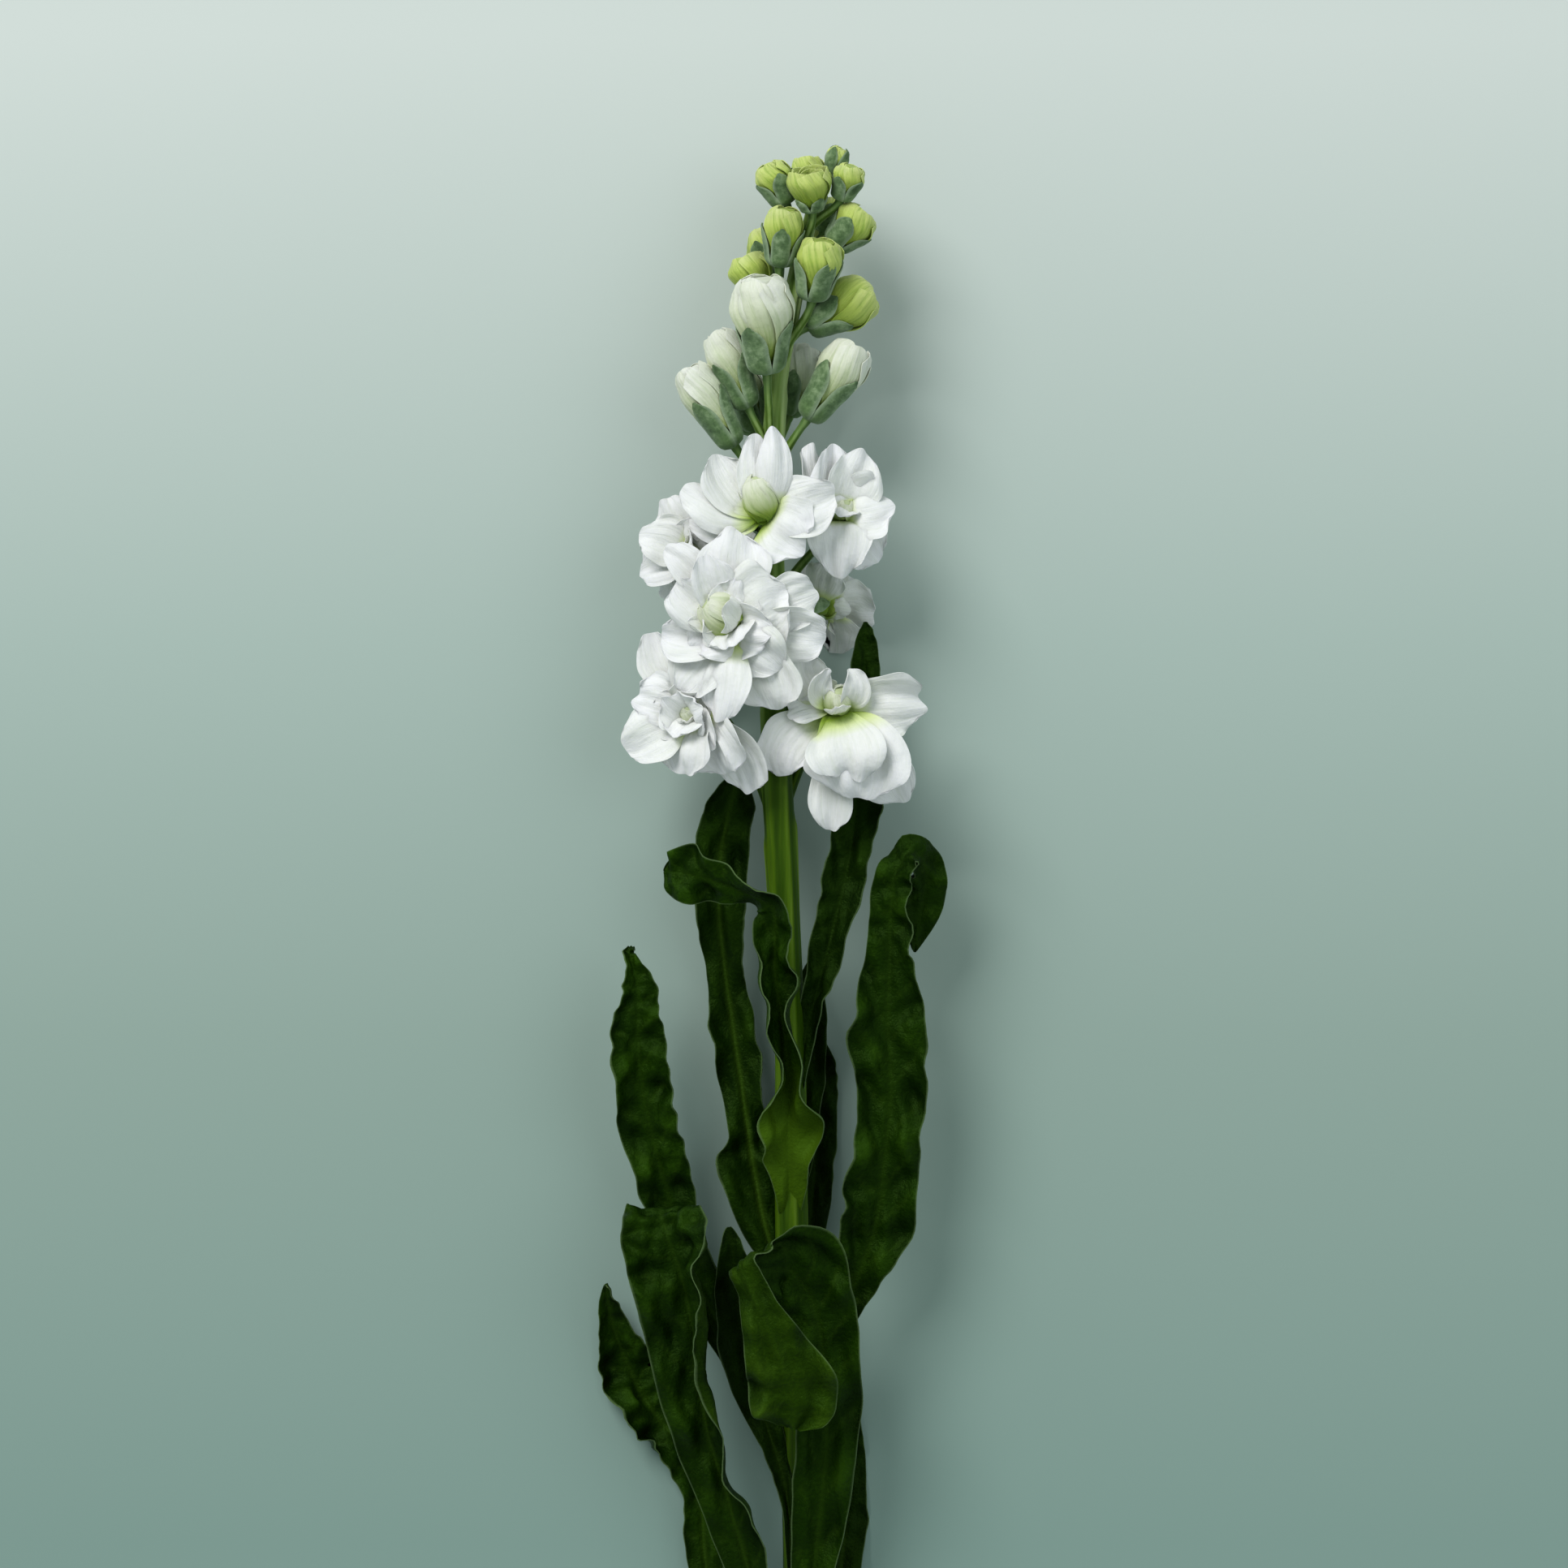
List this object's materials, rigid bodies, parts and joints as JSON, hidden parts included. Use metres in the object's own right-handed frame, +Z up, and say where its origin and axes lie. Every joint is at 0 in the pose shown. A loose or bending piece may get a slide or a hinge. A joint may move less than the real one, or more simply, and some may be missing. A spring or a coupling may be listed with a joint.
{
  "type": "cut flower stem",
  "caption": "Cut stem of white double stock lying down: opening buds at the tip, full white flowers below, long curled leaves.",
  "frame": {"origin": "on the table under the middle of the stem's bounding box", "axes": "+Y along the stem towards its tip, +X to the right seen from above, +Z up from the table"},
  "size_m": [0.0864, 0.441, 0.0448],
  "materials": {
    "stem_green": "soft, slightly hairy",
    "leaf_green": "dark, matt, finely hairy",
    "petals": "matt white",
    "bud_petals": "matt, yellow-green to cream"
  },
  "bodies": {
    "root": {"stem": "stem_green", "bud_01": "bud_petals", "bud_02": "bud_petals", "bud_03": "bud_petals", "bud_04": "bud_petals", "bud_05": "bud_petals", "bud_06": "bud_petals", "bud_07": "bud_petals", "bud_08": "bud_petals", "bud_09": "bud_petals", "bud_10": "bud_petals", "bud_11": "bud_petals", "bud_12": "bud_petals", "bud_13": "bud_petals", "bud_14": "bud_petals", "bud_15": "bud_petals", "bud_16": "bud_petals", "bud_17": "bud_petals", "bud_18": "bud_petals", "bud_19": "bud_petals", "bud_20": "bud_petals", "bloom_centre": "petals", "bloom_top": "petals", "bloom_low_right": "petals", "bloom_low_left": "petals", "bloom_top_right": "petals", "bloom_left": "petals", "bloom_back_right": "petals", "bloom_back_left": "petals", "bloom_back_top": "petals", "leaf_front_fold": "leaf_green", "leaf_left_roll": "leaf_green", "leaf_left_low": "leaf_green", "leaf_left_tall": "leaf_green", "leaf_curl": "leaf_green", "leaf_back_left": "leaf_green", "leaf_right_slim": "leaf_green", "leaf_right_tall": "leaf_green", "leaf_back_small": "leaf_green", "leaf_back_long": "leaf_green", "leaf_low_left": "leaf_green", "leaf_low_right": "leaf_green"}
  },
  "joints": []
}
